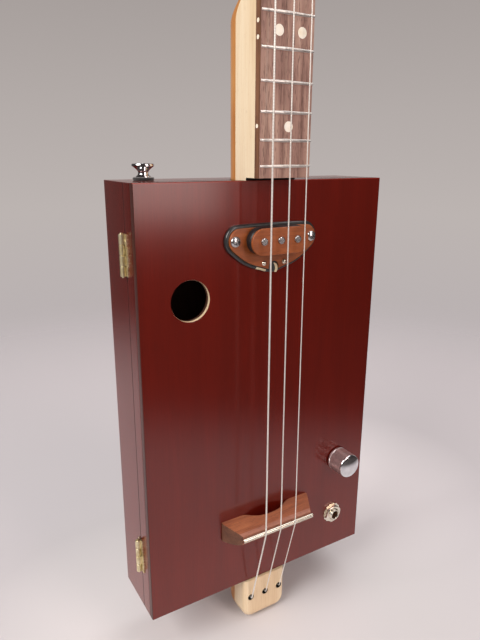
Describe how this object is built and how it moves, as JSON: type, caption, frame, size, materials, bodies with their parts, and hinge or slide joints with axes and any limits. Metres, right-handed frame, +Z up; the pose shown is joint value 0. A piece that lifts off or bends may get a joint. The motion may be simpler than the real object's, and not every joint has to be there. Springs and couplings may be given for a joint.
{
  "type": "cigar box guitar",
  "caption": "Slim wooden box with a long fretted neck through it, a magnetic pickup, wound and plain steel strings, tuning machines and a hinged tray behind.",
  "frame": {"origin": "on the nut line, on the neck's centreline, in the plane of the box's face, where a hanger yoke holds the neck below the headstock", "axes": "+Z up along the neck to the headstock, -Y towards the player's strumming side, +Y to the back of the box, +X to the side of the volume knob"},
  "size_m": [0.1953, 0.0723, 0.8795],
  "materials": {
    "lacquered_mahogany": "satin lacquer over red-stained mahogany",
    "maple": "oiled maple",
    "rosewood": "oiled rosewood",
    "bridge_wood": "oiled hardwood",
    "veneer": "thin sanded wood plate",
    "bone": "polished bone",
    "string_steel": "plain and wound steel",
    "nickel": "nickel plate",
    "chrome": "polished chrome plate",
    "brass": "brass plate",
    "blackened_steel": "dark oxide",
    "black_fibre": "black vulcanised fibre",
    "lead_cover": "black insulation",
    "felt": "pressed wool felt"
  },
  "bodies": {
    "root": {"soundboard": "lacquered_mahogany", "lid_side_left": "lacquered_mahogany", "lid_side_right": "lacquered_mahogany", "lid_end_bottom_left": "lacquered_mahogany", "lid_end_bottom_right": "lacquered_mahogany", "lid_end_top_left": "lacquered_mahogany", "lid_end_top_right": "lacquered_mahogany", "hinge_lower_lid_leaf": "brass", "hinge_lower_pin": "brass", "hinge_upper_lid_leaf": "brass", "hinge_upper_pin": "brass", "neck": "maple", "fretboard": "rosewood", "nut": "bone", "string_bass": "string_steel", "string_middle": "string_steel", "string_treble": "string_steel", "bridge": "bridge_wood", "saddle_rod": "nickel", "pickup_base": "black_fibre", "pickup_bottom_plate": "veneer", "pickup_coil": "black_fibre", "pickup_top_plate": "veneer", "pole_bass": "string_steel", "pole_middle": "string_steel", "pole_treble": "string_steel", "pickup_screw_left": "nickel", "pickup_screw_right": "nickel", "volume_pot": "nickel", "volume_nut": "nickel", "output_jack": "nickel", "jack_nut": "nickel", "tail_ferrule_bass": "blackened_steel", "tail_ferrule_middle": "blackened_steel", "tail_ferrule_treble": "blackened_steel", "tuner_housing_bass": "chrome", "tuner_bushing_bass": "chrome", "tuner_housing_middle": "chrome", "tuner_bushing_middle": "chrome", "tuner_housing_treble": "chrome", "tuner_bushing_treble": "chrome", "pickup_lead": "lead_cover", "jack_lead": "lead_cover"},
    "tray": {"tray_back": "lacquered_mahogany", "tray_side_left": "lacquered_mahogany", "tray_side_right": "lacquered_mahogany", "tray_end_bottom": "lacquered_mahogany", "tray_end_top": "lacquered_mahogany", "hinge_lower_tray_leaf": "brass", "hinge_upper_tray_leaf": "brass", "strap_felt": "felt", "strap_button": "chrome"},
    "volume": {"volume_shaft": "nickel", "volume_knob": "chrome"},
    "key_bass": {"tuner_key_bass": "chrome"},
    "key_middle": {"tuner_key_middle": "chrome"},
    "key_treble": {"tuner_key_treble": "chrome"},
    "post_bass": {"tuner_post_bass": "chrome"},
    "post_middle": {"tuner_post_middle": "chrome"},
    "post_treble": {"tuner_post_treble": "chrome"}
  },
  "joints": [
    {"name": "tray_hinge", "type": "hinge", "parent": "root", "child": "tray", "pos_m": [-0.09765, 0.016, -0.552], "axis": [0, 0, 1], "range_deg": [0, 180]},
    {"name": "volume_turn", "type": "hinge", "parent": "root", "child": "volume", "pos_m": [0.0686, -0.01, -0.621], "axis": [0, 1, 0], "range_deg": [-150, 150]},
    {"name": "key_bass_turn", "type": "hinge", "parent": "root", "child": "key_bass", "pos_m": [-0.03, 0.0175, 0.0394], "axis": [1, 0, 0], "continuous": true},
    {"name": "key_middle_turn", "type": "hinge", "parent": "root", "child": "key_middle", "pos_m": [-0.03, 0.0175, 0.0934], "axis": [1, 0, 0], "continuous": true},
    {"name": "key_treble_turn", "type": "hinge", "parent": "root", "child": "key_treble", "pos_m": [0.03, 0.0175, 0.0664], "axis": [1, 0, 0], "continuous": true},
    {"name": "post_bass_turn", "type": "hinge", "parent": "root", "child": "post_bass", "pos_m": [-0.0165, 0, 0.046], "axis": [0, 1, 0], "continuous": true},
    {"name": "post_middle_turn", "type": "hinge", "parent": "root", "child": "post_middle", "pos_m": [-0.0165, 0, 0.1], "axis": [0, 1, 0], "continuous": true},
    {"name": "post_treble_turn", "type": "hinge", "parent": "root", "child": "post_treble", "pos_m": [0.0165, 0, 0.073], "axis": [0, 1, 0], "continuous": true}
  ],
  "couplings": [
    {"joint": "post_bass_turn", "follows": "key_bass_turn", "ratio": -0.071429},
    {"joint": "post_middle_turn", "follows": "key_middle_turn", "ratio": -0.071429},
    {"joint": "post_treble_turn", "follows": "key_treble_turn", "ratio": 0.071429}
  ]
}
